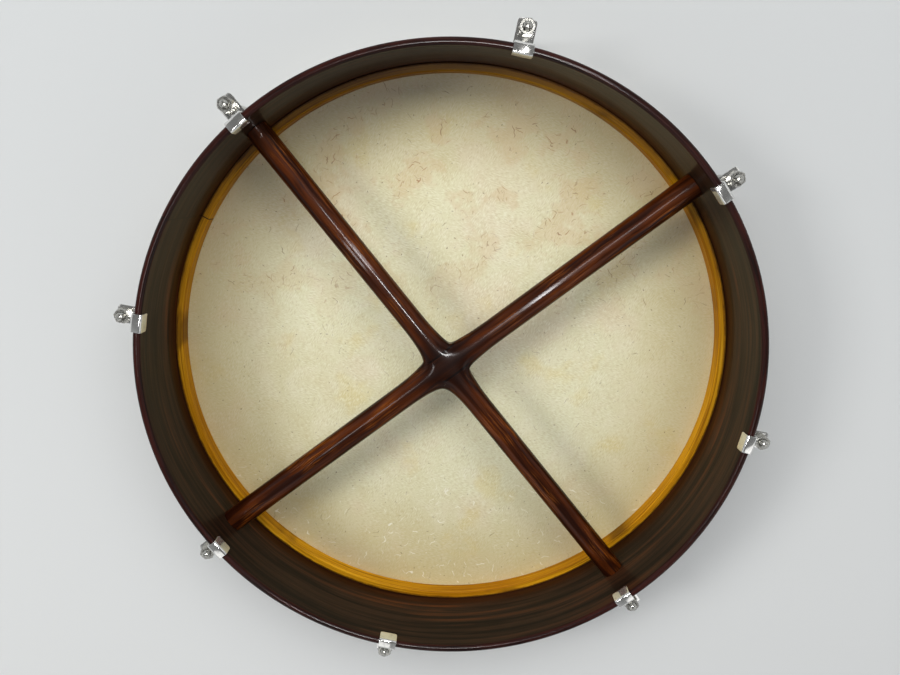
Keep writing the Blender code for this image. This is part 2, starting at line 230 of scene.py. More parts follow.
class Look:
    """A Principled material, with short calls for the nodes that feed it."""

    def __init__(self, name, **sockets):
        self.material = bpy.data.materials.new(name)
        self.material.use_nodes = True
        self.tree = self.material.node_tree
        self.shader = self.tree.nodes["Principled BSDF"]
        for socket, value in sockets.items():
            self.shader.inputs[socket.replace("_", " ")].default_value = value
        self.place = self.tree.nodes.new("ShaderNodeTexCoord").outputs["Object"]

    def feed(self, node, socket, value):
        if value is None:
            return
        target = node.inputs[socket]
        if isinstance(value, bpy.types.NodeSocket):
            self.tree.links.new(value, target)
        elif isinstance(value, tuple) and len(value) == 3 and target.type == "RGBA":
            target.default_value = (*value, 1.0)
        else:
            target.default_value = value

    def math(self, operation, a, b=None, c=None, clamp=False):
        node = self.tree.nodes.new("ShaderNodeMath")
        node.operation = operation
        node.use_clamp = clamp
        for i, value in enumerate((a, b, c)):
            self.feed(node, i, value)
        return node.outputs[0]

    def vector(self, operation, a, b=None):
        node = self.tree.nodes.new("ShaderNodeVectorMath")
        node.operation = operation
        self.feed(node, 0, a)
        self.feed(node, 1, b)
        return node.outputs["Value" if operation in ("LENGTH", "DISTANCE", "DOT_PRODUCT") else "Vector"]

    def join(self, x, y, z):
        node = self.tree.nodes.new("ShaderNodeCombineXYZ")
        for i, value in enumerate((x, y, z)):
            self.feed(node, i, value)
        return node.outputs[0]

    def axes(self, *parts):
        """A vector from three parts, each a number or a (value, scale) pair."""
        scaled = (self.math("MULTIPLY", *part) if isinstance(part, tuple) else part for part in parts)
        return self.join(*scaled)

    def split(self, vector):
        node = self.tree.nodes.new("ShaderNodeSeparateXYZ")
        self.feed(node, 0, vector)
        return node.outputs[0], node.outputs[1], node.outputs[2]

    def turn(self, vector, angle, centre=(0.0, 0.0, 0.0)):
        node = self.tree.nodes.new("ShaderNodeVectorRotate")
        node.rotation_type = "Z_AXIS"
        self.feed(node, "Vector", vector)
        self.feed(node, "Center", centre)
        self.feed(node, "Angle", angle)
        return node.outputs[0]

    def noise(self, vector, scale=1.0, detail=3.0, roughness=0.5, distortion=0.0, output="Fac"):
        node = self.tree.nodes.new("ShaderNodeTexNoise")
        for socket, value in (
            ("Vector", vector), ("Scale", scale), ("Detail", detail),
            ("Roughness", roughness), ("Distortion", distortion),
        ):
            self.feed(node, socket, value)
        return node.outputs[output]

    def voronoi(self, vector, scale, randomness=1.0):
        node = self.tree.nodes.new("ShaderNodeTexVoronoi")
        self.feed(node, "Vector", vector)
        self.feed(node, "Scale", scale)
        self.feed(node, "Randomness", randomness)
        return node.outputs["Distance"], node.outputs["Color"], node.outputs["Position"]

    def step(self, value, low, high, to_low=0.0, to_high=1.0):
        """Smooth change from to_low at low to to_high at high."""
        node = self.tree.nodes.new("ShaderNodeMapRange")
        node.interpolation_type = "SMOOTHSTEP"
        for i, number in enumerate((value, low, high, to_low, to_high)):
            self.feed(node, i, number)
        return node.outputs[0]

    def mix(self, factor, a, b, blend="MIX"):
        node = self.tree.nodes.new("ShaderNodeMix")
        node.data_type = "RGBA"
        node.blend_type = blend
        self.feed(node, 0, factor)
        self.feed(node, 6, a)
        self.feed(node, 7, b)
        return node.outputs[2]

    def bump(self, height, distance, strength=1.0, normal=None):
        node = self.tree.nodes.new("ShaderNodeBump")
        self.feed(node, "Strength", strength)
        self.feed(node, "Distance", distance)
        self.feed(node, "Height", height)
        self.feed(node, "Normal", normal)
        return node.outputs[0]

    def finish(self, colour=None, roughness=None, normal=None):
        self.feed(self.shader, "Base Color", colour)
        self.feed(self.shader, "Roughness", roughness)
        self.feed(self.shader, "Normal", normal)
        return self.material

    def round_drum(self):
        """Distance along the rim from the seam, radius and height, in metres."""
        turned_place = self.turn(self.place, radians(180.0 - SEAM_ANGLE))
        x, y, z = self.split(turned_place)
        angle = self.math("ARCTAN2", y, x)
        radius = self.vector("LENGTH", self.join(x, y, 0.0))
        return self.math("MULTIPLY", angle, INNER), radius, z

    def seam(self, along, half_width):
        """1 on the butt joint, 0 away from it."""
        return self.step(self.math("ABSOLUTE", along), pi * INNER - half_width * 2, pi * INNER - half_width)


def frame_look(name, coat, coat_ior):
    """Stained, varnished wood bent round the drum. The rim's varnish is thicker than the inside's."""
    look = Look(
        name, Roughness=0.4, Specular_IOR_Level=0.06, Coat_Weight=coat, Coat_Roughness=0.09, Coat_IOR=coat_ior
    )
    along, radius, height = look.round_drum()
    wander = look.noise(look.axes((along, 4.0), 0.0, 3.0), detail=2.0)
    across = look.math("ADD", height, look.math("MULTIPLY", wander, 0.012))
    fine = look.noise(look.axes((along, 16.0), (across, 620.0), (radius, 300.0)), detail=5.0, roughness=0.65)
    bands = look.noise(look.axes((along, 7.0), (across, 190.0), 7.0), detail=3.0, distortion=0.4)
    patches = look.noise(look.axes((along, 6.0), (height, 30.0), 1.0))
    colour = look.mix(look.step(bands, 0.34, 0.64), srgb(22, 14, 9), srgb(46, 31, 21))
    low = look.step(height, 0.052, 0.012)
    streak = look.math("MULTIPLY", look.step(bands, 0.50, 0.70), look.step(patches, 0.44, 0.60))
    warm = look.math("MULTIPLY", streak, look.math("MULTIPLY_ADD", low, 0.75, 0.2))
    colour = look.mix(warm, colour, srgb(104, 54, 22))
    colour = look.mix(look.step(fine, 0.52, 0.72, 0.0, 0.5), colour, srgb(78, 50, 34))
    pores = look.step(fine, 0.45, 0.30)
    colour = look.mix(look.math("MULTIPLY", pores, 0.75), colour, srgb(10, 6, 4))
    foot = look.step(height, RING_HIGH.z + 0.020, RING_HIGH.z + 0.002)
    colour = look.mix(look.math("MULTIPLY", foot, 0.5), colour, srgb(58, 26, 8))
    rim = look.step(height, TOP - 0.0036, TOP - 0.0020)
    rim_colour = look.mix(look.step(fine, 0.35, 0.65), srgb(20, 6, 4), srgb(50, 17, 11))
    colour = look.mix(rim, colour, rim_colour)
    outside = look.step(radius, OUTER - 0.0024, OUTER - 0.0010)
    colour = look.mix(look.math("MULTIPLY", outside, 0.55), colour, rim_colour)
    colour = look.mix(look.seam(along, 0.00022), colour, srgb(8, 4, 3))
    roughness = look.math("MULTIPLY_ADD", fine, 0.25, 0.28)
    grain = look.bump(fine, 0.00009, 0.6)
    waves = look.noise(look.axes((along, 14.0), (height, 40.0), 0.0))
    normal = look.bump(waves, 0.0008, 0.25, grain)
    return look.finish(colour, roughness, normal)


def ring_look():
    """Yellow-varnished wood with glue along its outer edge, darker on the side that is uppermost: a brown
    stain there, deepened by painted shade.
    """
    look = Look("ring_varnish", Roughness=0.45, Specular_IOR_Level=0.05, Coat_Weight=0.05, Coat_Roughness=0.2)
    along, radius, height = look.round_drum()
    fine = look.noise(look.axes((along, 11.0), (radius, 900.0), (height, 900.0)), detail=4.0, roughness=0.6)
    soft = look.noise(look.axes((along, 7.0), (radius, 160.0), 2.0), detail=3.0)
    colour = look.mix(look.step(soft, 0.3, 0.7), srgb(172, 112, 6), srgb(214, 154, 22))
    colour = look.mix(look.step(fine, 0.54, 0.34, 0.0, 0.85), colour, srgb(136, 84, 8))
    colour = look.mix(look.step(fine, 0.55, 0.72, 0.0, 0.6), colour, srgb(228, 176, 52))
    edge_noise = look.noise(look.axes((along, 60.0), 0.0, 5.0), detail=4.0, roughness=0.65)
    from_wall = look.math("SUBTRACT", RING_HIGH.x, radius)
    ragged = look.math("SUBTRACT", from_wall, look.math("MULTIPLY", edge_noise, 0.0032))
    glue = look.step(ragged, 0.0003, -0.0009)
    colour = look.mix(look.math("MULTIPLY", glue, 0.85), colour, srgb(70, 42, 12))
    blots = look.noise(look.axes((along, 14.0), (radius, 40.0), 9.0))
    colour = look.mix(look.step(blots, 0.60, 0.70, 0.0, 0.65), colour, srgb(84, 50, 12))
    # Painted shade: darker towards the drum's uppermost side (+Y), partly a brown stain there and partly the
    # shade of the frame's top wall.
    _, y, _ = look.split(look.place)
    colour = look.mix(look.step(y, 0.10, 0.21, 0.0, 0.5), colour, srgb(96, 56, 10))
    colour = look.mix(look.seam(along, 0.0003), colour, srgb(50, 30, 8))
    roughness = look.math("MULTIPLY_ADD", fine, 0.2, 0.35)
    return look.finish(colour, roughness, look.bump(fine, 0.00012, 0.6))


def bar_look(name, angle, gloss):
    """Varnished hardwood with its grain along the bar, with painted shade darkening the crossing, and the
    lap's joint line.
    """
    look = Look(
        name, Roughness=0.35, Specular_IOR_Level=0.05, Coat_Weight=1.0, Coat_Roughness=gloss, Coat_IOR=1.2
    )
    local = look.turn(look.place, radians(-angle), tuple(CROSSING))
    x, y, z = look.split(local)
    wander = look.noise(look.axes((x, 16.0), 0.0, 0.0), detail=2.0)
    y = look.math("ADD", y, look.math("MULTIPLY", wander, 0.006))
    fine = look.noise(look.axes((x, 34.0), (y, 900.0), (z, 900.0)), detail=5.0, roughness=0.66)
    bands = look.noise(look.axes((x, 12.0), (y, 230.0), (z, 120.0)), detail=3.0, distortion=0.3)
    patches = look.noise(look.axes((x, 22.0), (y, 60.0), 4.0), detail=2.0)
    colour = look.mix(look.step(bands, 0.34, 0.66), srgb(35, 11, 3), srgb(78, 34, 7))
    light = look.math("MULTIPLY", look.step(fine, 0.46, 0.68), look.step(patches, 0.44, 0.62))
    colour = look.mix(look.math("MULTIPLY", light, 0.75), colour, srgb(138, 74, 20))
    colour = look.mix(look.step(patches, 0.46, 0.32, 0.0, 0.55), colour, srgb(34, 12, 5))
    colour = look.mix(look.step(fine, 0.46, 0.28, 0.0, 0.7), colour, srgb(22, 8, 4))
    # Painted shade: the colour darkens almost to black within a few centimetres of the crossing.
    near = look.vector("LENGTH", look.vector("SUBTRACT", look.place, tuple(CROSSING)))
    colour = look.mix(look.step(near, 0.034, 0.014, 0.0, 0.88), colour, srgb(24, 7, 3))
    u, v, _ = look.split(look.turn(look.place, radians(-MAIN_BAR_ANGLE), tuple(CROSSING)))
    from_edge = look.math("ABSOLUTE", look.math("SUBTRACT", look.math("ABSOLUTE", v), MAIN_BAR_WIDTH / 2))
    joint = look.math("MULTIPLY", look.step(from_edge, 0.0010, 0.0003),
                      look.step(look.math("ABSOLUTE", u), 0.0140, 0.0110))
    colour = look.mix(look.math("MULTIPLY", joint, 0.9), colour, srgb(8, 3, 2))
    roughness = look.math("MULTIPLY_ADD", fine, 0.2, 0.25)
    grain = look.bump(fine, 0.00005, 0.4)
    waves = look.noise(look.axes((x, 40.0), (y, 70.0), 0.0), detail=1.0)
    return look.finish(colour, roughness, look.bump(waves, 0.0006, 0.08, grain))


def hair_marks(look, scale, seed, width, length, share, bend=0.004):
    """Short curved hairs, one to a cell, each turned its own way; only some cells have one."""
    shifted = look.vector("ADD", look.place, (seed, seed * 1.7, 0.0))
    x, y, _ = look.split(shifted)
    flat = look.join(x, y, 0.0)
    wave = look.vector("SUBTRACT", look.noise(shifted, 150.0, detail=1.0, output="Color"), (0.5, 0.5, 0.5))
    bent = look.vector("ADD", flat, look.vector("MULTIPLY", wave, (bend, bend, bend)))
    _, colour, centre = look.voronoi(flat, scale)
    red, green, blue = look.split(colour)
    local = look.turn(look.vector("SUBTRACT", bent, centre), look.math("MULTIPLY", red, 2 * pi))
    u, v, _ = look.split(local)
    thin = look.step(look.math("ABSOLUTE", v), width, width * 0.5)
    short = look.step(look.math("ABSOLUTE", u), length, length * 0.6)
    chosen = look.math("LESS_THAN", green, share)
    return look.math("MULTIPLY", look.math("MULTIPLY", thin, short), look.math("MULTIPLY", chosen, blue))


def skin_look():
    """Goatskin: clouds, fibres, stains, and hair marks that are thickest near the top."""
    look = Look("goatskin", Roughness=0.62, Sheen_Weight=0.1)
    x, y, _ = look.split(look.place)
    radius = look.vector("LENGTH", look.join(x, y, 0.0))
    clouds = look.noise(look.place, 7.0, detail=4.0, roughness=0.55)
    mottle = look.noise(look.place, 38.0, detail=5.0, roughness=0.62, distortion=0.6)
    one_way, other_way = (
        look.noise(look.vector("MULTIPLY", look.turn(look.place, angle), (1150.0, 330.0, 1.0)), detail=3.0)
        for angle in (0.5, 1.9)
    )
    which = look.step(look.noise(look.place, 30.0, detail=2.0), 0.44, 0.56)
    fibre = look.math("MULTIPLY_ADD", look.math("SUBTRACT", other_way, one_way), which, one_way)
    yellow = look.noise(look.vector("ADD", look.place, (3.0, 1.0, 0.0)), 20.0, detail=3.0, roughness=0.6)
    rosy = look.noise(look.vector("ADD", look.place, (7.0, 2.0, 0.0)), 13.0, detail=3.0, roughness=0.6)
    colour = look.mix(look.step(clouds, 0.35, 0.65), srgb(216, 209, 169), srgb(224, 220, 184))
    colour = look.mix(look.step(rosy, 0.48, 0.66, 0.0, 0.5), colour, srgb(222, 204, 176))
    colour = look.mix(look.step(mottle, 0.46, 0.66, 0.0, 0.4), colour, srgb(232, 226, 198))
    colour = look.mix(look.step(mottle, 0.46, 0.28, 0.0, 0.3), colour, srgb(200, 184, 134))
    colour = look.mix(look.step(yellow, 0.56, 0.70, 0.0, 0.45), colour, srgb(216, 198, 128))
    colour = look.mix(look.step(fibre, 0.50, 0.68, 0.0, 0.4), colour, srgb(190, 174, 130))
    colour = look.mix(look.step(fibre, 0.50, 0.34, 0.0, 0.4), colour, srgb(242, 240, 220))
    # Darker and yellower towards the rim: partly the skin's own edge tone, partly painted shade from the
    # frame's wall.
    edge = look.step(radius, 0.115, RING_HIGH.x - RING_WALL, 0.0, 0.6)
    colour = look.mix(edge, colour, srgb(192, 169, 108))
    upper = look.step(y, 0.00, 0.12, 0.15, 1.0)
    clusters = look.noise(look.vector("ADD", look.place, (2.0, 5.0, 0.0)), 26.0, detail=3.0, roughness=0.6)
    thick_hair = look.math("MULTIPLY", look.step(clusters, 0.50, 0.60), upper)
    colour = look.mix(look.math("MULTIPLY", thick_hair, 0.45), colour, srgb(208, 182, 136))
    for scale, seed, width, length, share, amount, tone in (
        (62.0, 0.31, 0.00044, 0.0046, 0.75, 1.0, srgb(150, 102, 56)),
        (85.0, 1.93, 0.00040, 0.0038, 0.75, 1.0, srgb(166, 114, 64)),
        (120.0, 2.71, 0.00038, 0.0030, 0.70, 0.9, srgb(146, 100, 58)),
    ):
        marks = look.math("MULTIPLY", hair_marks(look, scale, seed, width, length, share, 0.008), thick_hair)
        colour = look.mix(look.math("MULTIPLY", marks, amount), colour, tone)
    single = hair_marks(look, 48.0, 4.17, 0.00030, 0.0034, 0.35, 0.006)
    colour = look.mix(look.math("MULTIPLY", single, 0.75), colour, srgb(128, 92, 52))
    specks = hair_marks(look, 140.0, 0.87, 0.00040, 0.0008, 0.25)
    colour = look.mix(look.math("MULTIPLY", specks, 0.75), colour, srgb(118, 84, 48))
    lower = look.step(y, -0.07, -0.15)
    pale = look.math("MULTIPLY", hair_marks(look, 95.0, 5.3, 0.00045, 0.0034, 0.55, 0.010), lower)
    colour = look.mix(look.math("MULTIPLY", pale, 0.9), colour, srgb(246, 242, 226))
    height = look.math("ADD", look.math("MULTIPLY", fibre, 0.6), mottle)
    roughness = look.math("MULTIPLY_ADD", fibre, 0.2, 0.5)
    return look.finish(colour, roughness, look.bump(height, 0.0005, 0.5))


def metal_look(name, colour, metallic, roughness, worn, scale):
    """Plated or bare metal with darker worn clouds and fine scratches in its roughness."""
    look = Look(name, Metallic=metallic, Roughness=roughness)
    cloud = look.noise(look.place, scale, detail=4.0, roughness=0.6)
    scratch = look.noise(look.vector("MULTIPLY", look.place, (900.0, 900.0, 5200.0)), 1.0, detail=3.0)
    shade = look.mix(look.step(cloud, 0.5, 0.72, 0.0, worn), colour, tuple(c * 0.45 for c in colour))
    clouded = look.math("MULTIPLY", cloud, roughness * 0.9)
    rough = look.math("ADD", clouded, look.math("MULTIPLY", scratch, roughness * 0.6))
    return look.finish(shade, rough)


# Frame, bearing ring, skin and hoops


def make_frame(look, rim_look):
    bearing, back = 0.0015, 0.0024

    def shape(angle, r, z):
        if r > INNER + 0.0001 or z > TOP - back:
            return r, z
        place = Vector((cos(angle) * 1.8, sin(angle) * 1.8, z * 18))
        return r + 0.00010 * noise.noise(place), z

    profile = [(INNER, BASE)]
    profile += arc((OUTER - bearing, BASE + bearing), bearing, -90, 0, 6)
    profile += line((OUTER, BASE + bearing), (OUTER, TOP - back), 4)
    profile += arc((OUTER - back, TOP - back), back, 0, 90, 10)
    profile += arc((INNER + back, TOP - back), back, 90, 180, 10)
    profile += line((INNER, TOP - back), (INNER, BASE), 12)
    mesh = turned("drum_frame", profile, 360, shape=shape)
    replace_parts(link("drum_frame", mesh, look), "frame_shell")
    mesh.materials.append(rim_look)
    for face in mesh.polygons:
        if face.center.z > TOP - back:
            face.material_index = 1


def make_ring(look):
    outer, top = RING_HIGH.x, RING_HIGH.z
    inner = outer - RING_WALL
    rounding = 0.0003

    def shape(angle, r, z):
        if r > inner + 0.0015:
            return r, z
        place = Vector((cos(angle) * 6, sin(angle) * 6, z * 30))
        return r + 0.00015 * noise.noise(place), z

    profile = [(inner, BASE), (outer, BASE)]
    profile += arc((outer - rounding, top - rounding), rounding, 0, 90, 3)
    profile += line((outer - rounding, top), (inner + RING_CHAMFER, top), 6)
    profile += [(inner + RING_CHAMFER, top), (inner, top - RING_CHAMFER)]
    profile += line((inner, top - RING_CHAMFER), (inner, BASE), 6)
    mesh = turned("inner_ring", profile, 360, shape=shape, sharp=25.0)
    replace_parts(link("inner_ring", mesh, look), "bearing_ring")


def make_skin(look):
    """The head: a flat disc, turned up the frame's side, over the flesh hoop and down outside it."""
    rounding = 0.0015
    wall = OUTER + GAP
    bend = (OUTER - rounding, BASE + rounding)
    inside = rounding + GAP
    thick = SKIN_THICKNESS
    fold_in = HOOP_INNER - GAP
    fold_out = FLESH_HIGH.x + GAP
    fold_z = FLESH_HIGH.z + GAP
    tail = 0.0052
    rings = 46

    def shape(angle, r, z):
        place = Vector((r * cos(angle), r * sin(angle), 0.0))
        if r < bend[0] and z > thick / 2 and z < BASE:
            swell = 0.00013 * noise.noise(place * 22) + 0.00007 * noise.noise(place * 75)
            return r, z + swell * min(1.0, (bend[0] - r) / 0.012)
        if r > fold_out and z < fold_z - tail / 2:
            return r, z + 0.0009 * noise.noise(Vector((cos(angle) * 14, sin(angle) * 14, 0.0)))
        if r >= wall and 0.006 < z < fold_z:
            pleat = noise.noise(Vector((cos(angle) * 40, sin(angle) * 40, z * 30)))
            return r + 0.00012 * pleat, z
        return r, z

    profile = [(0.0, 0.0)] + line((0.0, 0.0), (bend[0], 0.0), rings)
    profile += arc(bend, inside + thick, -90, 0, 8)
    profile += line((wall + thick, bend[1]), (wall + thick, fold_z - 0.0006), 8)
    profile += [(fold_in, fold_z), (fold_out, fold_z)]
    profile += line((fold_out, fold_z), (fold_out, fold_z - tail), 4)
    profile += [(fold_out, fold_z - tail), (fold_out + thick, fold_z - tail)]
    profile += line((fold_out + thick, fold_z - tail), (fold_out + thick, fold_z), 4)
    profile += arc((fold_out, fold_z), thick, 0, 90, 5)
    profile += arc((wall + thick, fold_z), thick, 90, 180, 5)
    profile += line((wall, fold_z), (wall, bend[1]), 8)
    profile += arc(bend, inside, 0, -90, 8)
    profile += line((bend[0], thick), (0.0, thick), rings) + [(0.0, thick)]
    mesh = turned("drum_skin", profile, 300, closed=False, shape=shape, sharp=60.0)
    skin = link("drum_skin", mesh, look, body=None)
    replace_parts(skin, "skin_head")
    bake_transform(skin)


def make_hoop(name, node, wall, rounding, look):
    low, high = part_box(node)
    corner = HOOP_INNER + wall - rounding
    profile = [(HOOP_INNER, low.z)]
    profile += arc((corner, low.z + rounding), rounding, -90, 0, 6)
    profile += arc((corner, high.z - rounding), rounding, 0, 90, 6)
    profile += [(HOOP_INNER, high.z)]
    mesh = turned(name, profile, 360)
    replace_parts(link(name, mesh, look, body="tension_hoop"), node)


# Crossbars


def reach(angle, radius):
    """How far a line from the crossing at this angle runs before it meets the circle of this radius."""
    d = Vector((cos(radians(angle)), sin(radians(angle))))
    along = CROSSING.xy.dot(d)
    return -along + (along**2 - CROSSING.xy.length_squared + radius**2) ** 0.5


def cage_half(half, inner):
    """The control distance that makes a smoothed oval section reach half, beside control points at inner."""
    return (48 * half - 2 * inner) / 46


def arm_ring(bm, angle, distance, half_width):
    """Eight control points of an arm's oval section, anticlockwise seen from the arm's end."""
    top, side = 0.0045, 0.0034
    y = cage_half(half_width, top)
    z = cage_half(BAR_THICKNESS / 2, side)
    section = ((-top, z), (-y, side), (-y, -side), (-top, -z), (top, -z), (y, -side), (y, side), (top, z))
    turn = Matrix.Rotation(radians(angle), 4, "Z")
    return [bm.verts.new(turn @ Vector((distance, across, up))) for across, up in section]


def crossed_bars_mesh(name, end_radius):
    """Both bars as one smooth form: a cage of four arms that share the corner columns of the crossing."""
    corner_top, side_half = 0.0060, 0.0034
    corner_sides = (0.0120, 0.0128, 0.0134, 0.0120)
    corner_creases = (0.7, 0.5, 0.2, 0.7)
    flare = ((0.0220, 0.0012), (0.0330, 0.0002), (0.0450, 0.0), (0.0900, 0.0), (0.1500, 0.0))
    angles = (MAIN_BAR_ANGLE, CROSS_BAR_ANGLE, MAIN_BAR_ANGLE + 180, CROSS_BAR_ANGLE + 180)
    widths = (MAIN_BAR_WIDTH / 2, CROSS_BAR_WIDTH / 2) * 2
    z = cage_half(BAR_THICKNESS / 2, side_half)
    bm = bmesh.new()
    creases = bm.edges.layers.float.new("crease_edge")
    columns = []
    for i in range(4):
        pair = (radians(angles[i]), radians(angles[(i + 1) % 4]))
        diagonal = sum((Vector((cos(a), sin(a), 0.0)) for a in pair), Vector())
        side = corner_sides[i]
        levels = ((corner_top, z), (side, side_half), (side, -side_half), (corner_top, -z))
        columns.append([bm.verts.new(out * diagonal + Vector((0, 0, up))) for out, up in levels])
    for i in range(4):
        before = columns[i - 1]
        rings = [before + columns[i][::-1]]
        for distance, extra in flare:
            rings.append(arm_ring(bm, angles[i], distance, widths[i] + extra))
        end = reach(angles[i], end_radius)
        rings.append(arm_ring(bm, angles[i], end - 0.0008, widths[i]))
        rings.append(arm_ring(bm, angles[i], end, widths[i]))
        for a, b in zip(rings, rings[1:]):
            for j in range(8):
                k = (j + 1) % 8
                bm.faces.new((a[j], b[j], b[k], a[k]))
        cap = bm.faces.new(rings[-1])
        for edge in cap.edges:
            edge[creases] = 0.8
    for column, crease in zip(columns, corner_creases):
        bm.edges.get((column[1], column[2]))[creases] = crease
    bm.faces.new([column[0] for column in columns])
    bm.faces.new([column[3] for column in columns])
    return mesh_of(bm, name)


def prism(name, outline, low, high):
    """A closed upright prism on a plan outline, standing at the crossing in line with the main bar."""
    bm = bmesh.new()
    base = bm.faces.new([bm.verts.new((x, y, low)) for x, y in outline])
    raised = bmesh.ops.extrude_face_region(bm, geom=[base])["geom"]
    ceiling = [part for part in raised if isinstance(part, bmesh.types.BMVert)]
    bmesh.ops.translate(bm, verts=ceiling, vec=(0, 0, high - low))
    cutter = helper(name, mesh_of(bm, name))
    cutter.location = CROSSING
    cutter.rotation_euler.z = radians(MAIN_BAR_ANGLE)
    return cutter


def both_ways(waist, half, far, along_main):
    """Plan outline of one bar's share of the crossing: its own width at the waist, wider along the mitres."""
    points = [(far, half + far - waist), (waist, half), (-waist, half), (-far, half + far - waist)]
    points += [(-x, -y) for x, y in points]
    return points if along_main else [(y, x) for x, y in points]


def one_way(waist, half, far, along_main, sign):
    """Plan outline of the same share on one side only, from the other bar's edge outwards."""
    edge = half + far - waist
    points = [(sign * waist, half), (sign * far, edge), (sign * far, -edge), (sign * waist, -half)]
    return points if along_main else [(y, x) for x, y in points]


def make_crossbars(main_look, cross_look):
    form = helper("bars_form", crossed_bars_mesh("bars_form", INNER - 0.0002))
    form.location = CROSSING
    subdivide = form.modifiers.new("smooth", "SUBSURF")
    subdivide.levels = subdivide.render_levels = 3
    whole = evaluated(form, "bars_smooth")
    main_half, cross_half = MAIN_BAR_WIDTH / 2, CROSS_BAR_WIDTH / 2
    far, tall = OUTER, BAR_THICKNESS
    half_gap = 0.00002
    for name, node, along_main, sign, look in (
        ("main_bar", "crossbar_main", True, 1, main_look),
        ("cross_bar", "crossbar_cross", False, -1, cross_look),
    ):
        bar = helper(f"{name}_blank", whole.copy())
        bar.location = CROSSING
        other_waist, other_half = (main_half, cross_half) if along_main else (cross_half, main_half)
        waist, half = other_waist - half_gap, other_half + half_gap
        low, high = sorted((-sign * tall, sign * half_gap))
        cutters = [prism(f"{name}_lap", both_ways(waist, half, far, not along_main), low, high)]
        low, high = sorted((-sign * half_gap, sign * tall))
        for side in (1, -1):
            cutters.append(prism(f"{name}_side", one_way(waist, half, far, not along_main, side), low, high))
        for cutter in cutters:
            cut(bar, cutter)
        mesh = evaluated(bar, name)
        for cutter in cutters:
            bpy.data.objects.remove(cutter, do_unlink=True)
        mesh.transform(Matrix.Translation(CROSSING))
        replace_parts(link(name, smooth(mesh, 40.0), look), node)


# Screws


def make_screws(look):
    """Slotted countersunk wood screws through the frame into the bars' ends."""
    head, shank, depth, length = 0.0040, 0.0020, 0.0022, 0.032
    thread_start, thread_pitch = 0.012, 0.0015
    profile = [(0.0, 0.0), (head - 0.0003, 0.0), (head, 0.0003), (shank, depth), (shank, thread_start)]
    z = thread_start
    while z < length - 0.005:
        profile += [(shank * 0.72, z + 0.0002), (shank, z + 0.0011)]
        z += thread_pitch
    profile += [(0.0, length)]
    corners = (
        ("upper_right", MAIN_BAR_ANGLE), ("lower_left", MAIN_BAR_ANGLE + 180),
        ("upper_left", CROSS_BAR_ANGLE), ("lower_right", CROSS_BAR_ANGLE + 180),
    )
    for number, (corner, angle) in enumerate(corners):
        blank = helper("screw_blank", turned("screw_blank", profile, 32, closed=False))
        bm = bmesh.new()
        bmesh.ops.create_cube(bm, size=1.0)
        bmesh.ops.scale(bm, vec=(3 * head, 0.0009, 0.0018), verts=bm.verts)
        slot = helper("screw_slot", mesh_of(bm, "screw_slot"))
        slot.rotation_euler.z = 0.7 * number
        cut(blank, slot)
        mesh = evaluated(blank, f"wood_screw_{corner}")
        bpy.data.objects.remove(slot, do_unlink=True)
        direction = Vector((cos(radians(angle)), sin(radians(angle)), 0.0))
        run = reach(angle, OUTER * cos(pi / CAD_SEGMENTS) - GAP)
        turn = (-direction).to_track_quat("Z", "Y").to_matrix().to_4x4()
        mesh.transform(Matrix.Translation(CROSSING + run * direction) @ turn)
        piece = link(f"wood_screw_{corner}", smooth(mesh), look)
        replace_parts(piece, f"bar_screw_{corner}")


# Tuning clips, hooks and nuts


def clip_mesh():
    """A bent strip hooked over the frame's back edge, with a drilled flange standing out at its foot."""
    half = STRIP_THICKNESS / 2
    inner = INNER - GAP - half
    outer = OUTER + GAP + half
    top = TOP + GAP + half
    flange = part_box("clip_1")[0].z + half
    bend = STRIP_BEND
    path = [(inner, TOP - TAB_DEPTH), (inner, TOP - 0.0055)]
    path += arc((inner + bend, top - bend), bend, 180, 90, 10)
    path += arc((outer - bend, top - bend), bend, 90, 0, 10)
    path += arc((outer + bend, flange + bend), bend, 180, 270, 8)
    path += [(FLANGE_END, flange)]
    path = [Vector(p) for p in path]
    bm = bmesh.new()
    sections = []
    for i, p in enumerate(path):
        along = (path[min(i + 1, len(path) - 1)] - path[max(i - 1, 0)]).normalized()
        side = Vector((-along.y, along.x)) * half
        ring = []
        for offset, y in ((side, -1), (side, 1), (-side, 1), (-side, -1)):
            r, z = p + offset
            ring.append(bm.verts.new((r, y * STRIP_WIDTH / 2, z)))
        sections.append(ring)
    for a, b in zip(sections, sections[1:]):
        for i in range(4):
            j = (i + 1) % 4
            bm.faces.new((a[i], a[j], b[j], b[i]))
    bm.faces.new(sections[0])
    bm.faces.new(sections[-1])
    for ring, radius in ((sections[0], TAB_CORNER), (sections[-1], FLANGE_CORNER)):
        corners = [bm.edges.get((ring[1], ring[2])), bm.edges.get((ring[3], ring[0]))]
        bmesh.ops.bevel(bm, geom=corners, offset=radius, segments=6, affect="EDGES", profile=0.5)
    blank = helper("clip_blank", mesh_of(bm, "clip_blank"))
    deep = 0.004
    hole = [(0, -deep), (FLANGE_HOLE, -deep), (FLANGE_HOLE, deep), (0, deep)]
    drill = helper("hole", turned("hole", hole, 32, closed=False))
    drill.location = (middle("hook_nut_1").xy.length, 0.0, flange)
    cut(blank, drill)
    bevel = blank.modifiers.new("edges", "BEVEL")
    bevel.width = 0.00016
    bevel.segments = 2
    bevel.limit_method = "ANGLE"
    bevel.angle_limit = radians(50)
    mesh = evaluated(blank, "clip")
    bpy.data.objects.remove(drill, do_unlink=True)
    return smooth(mesh, 30.0)


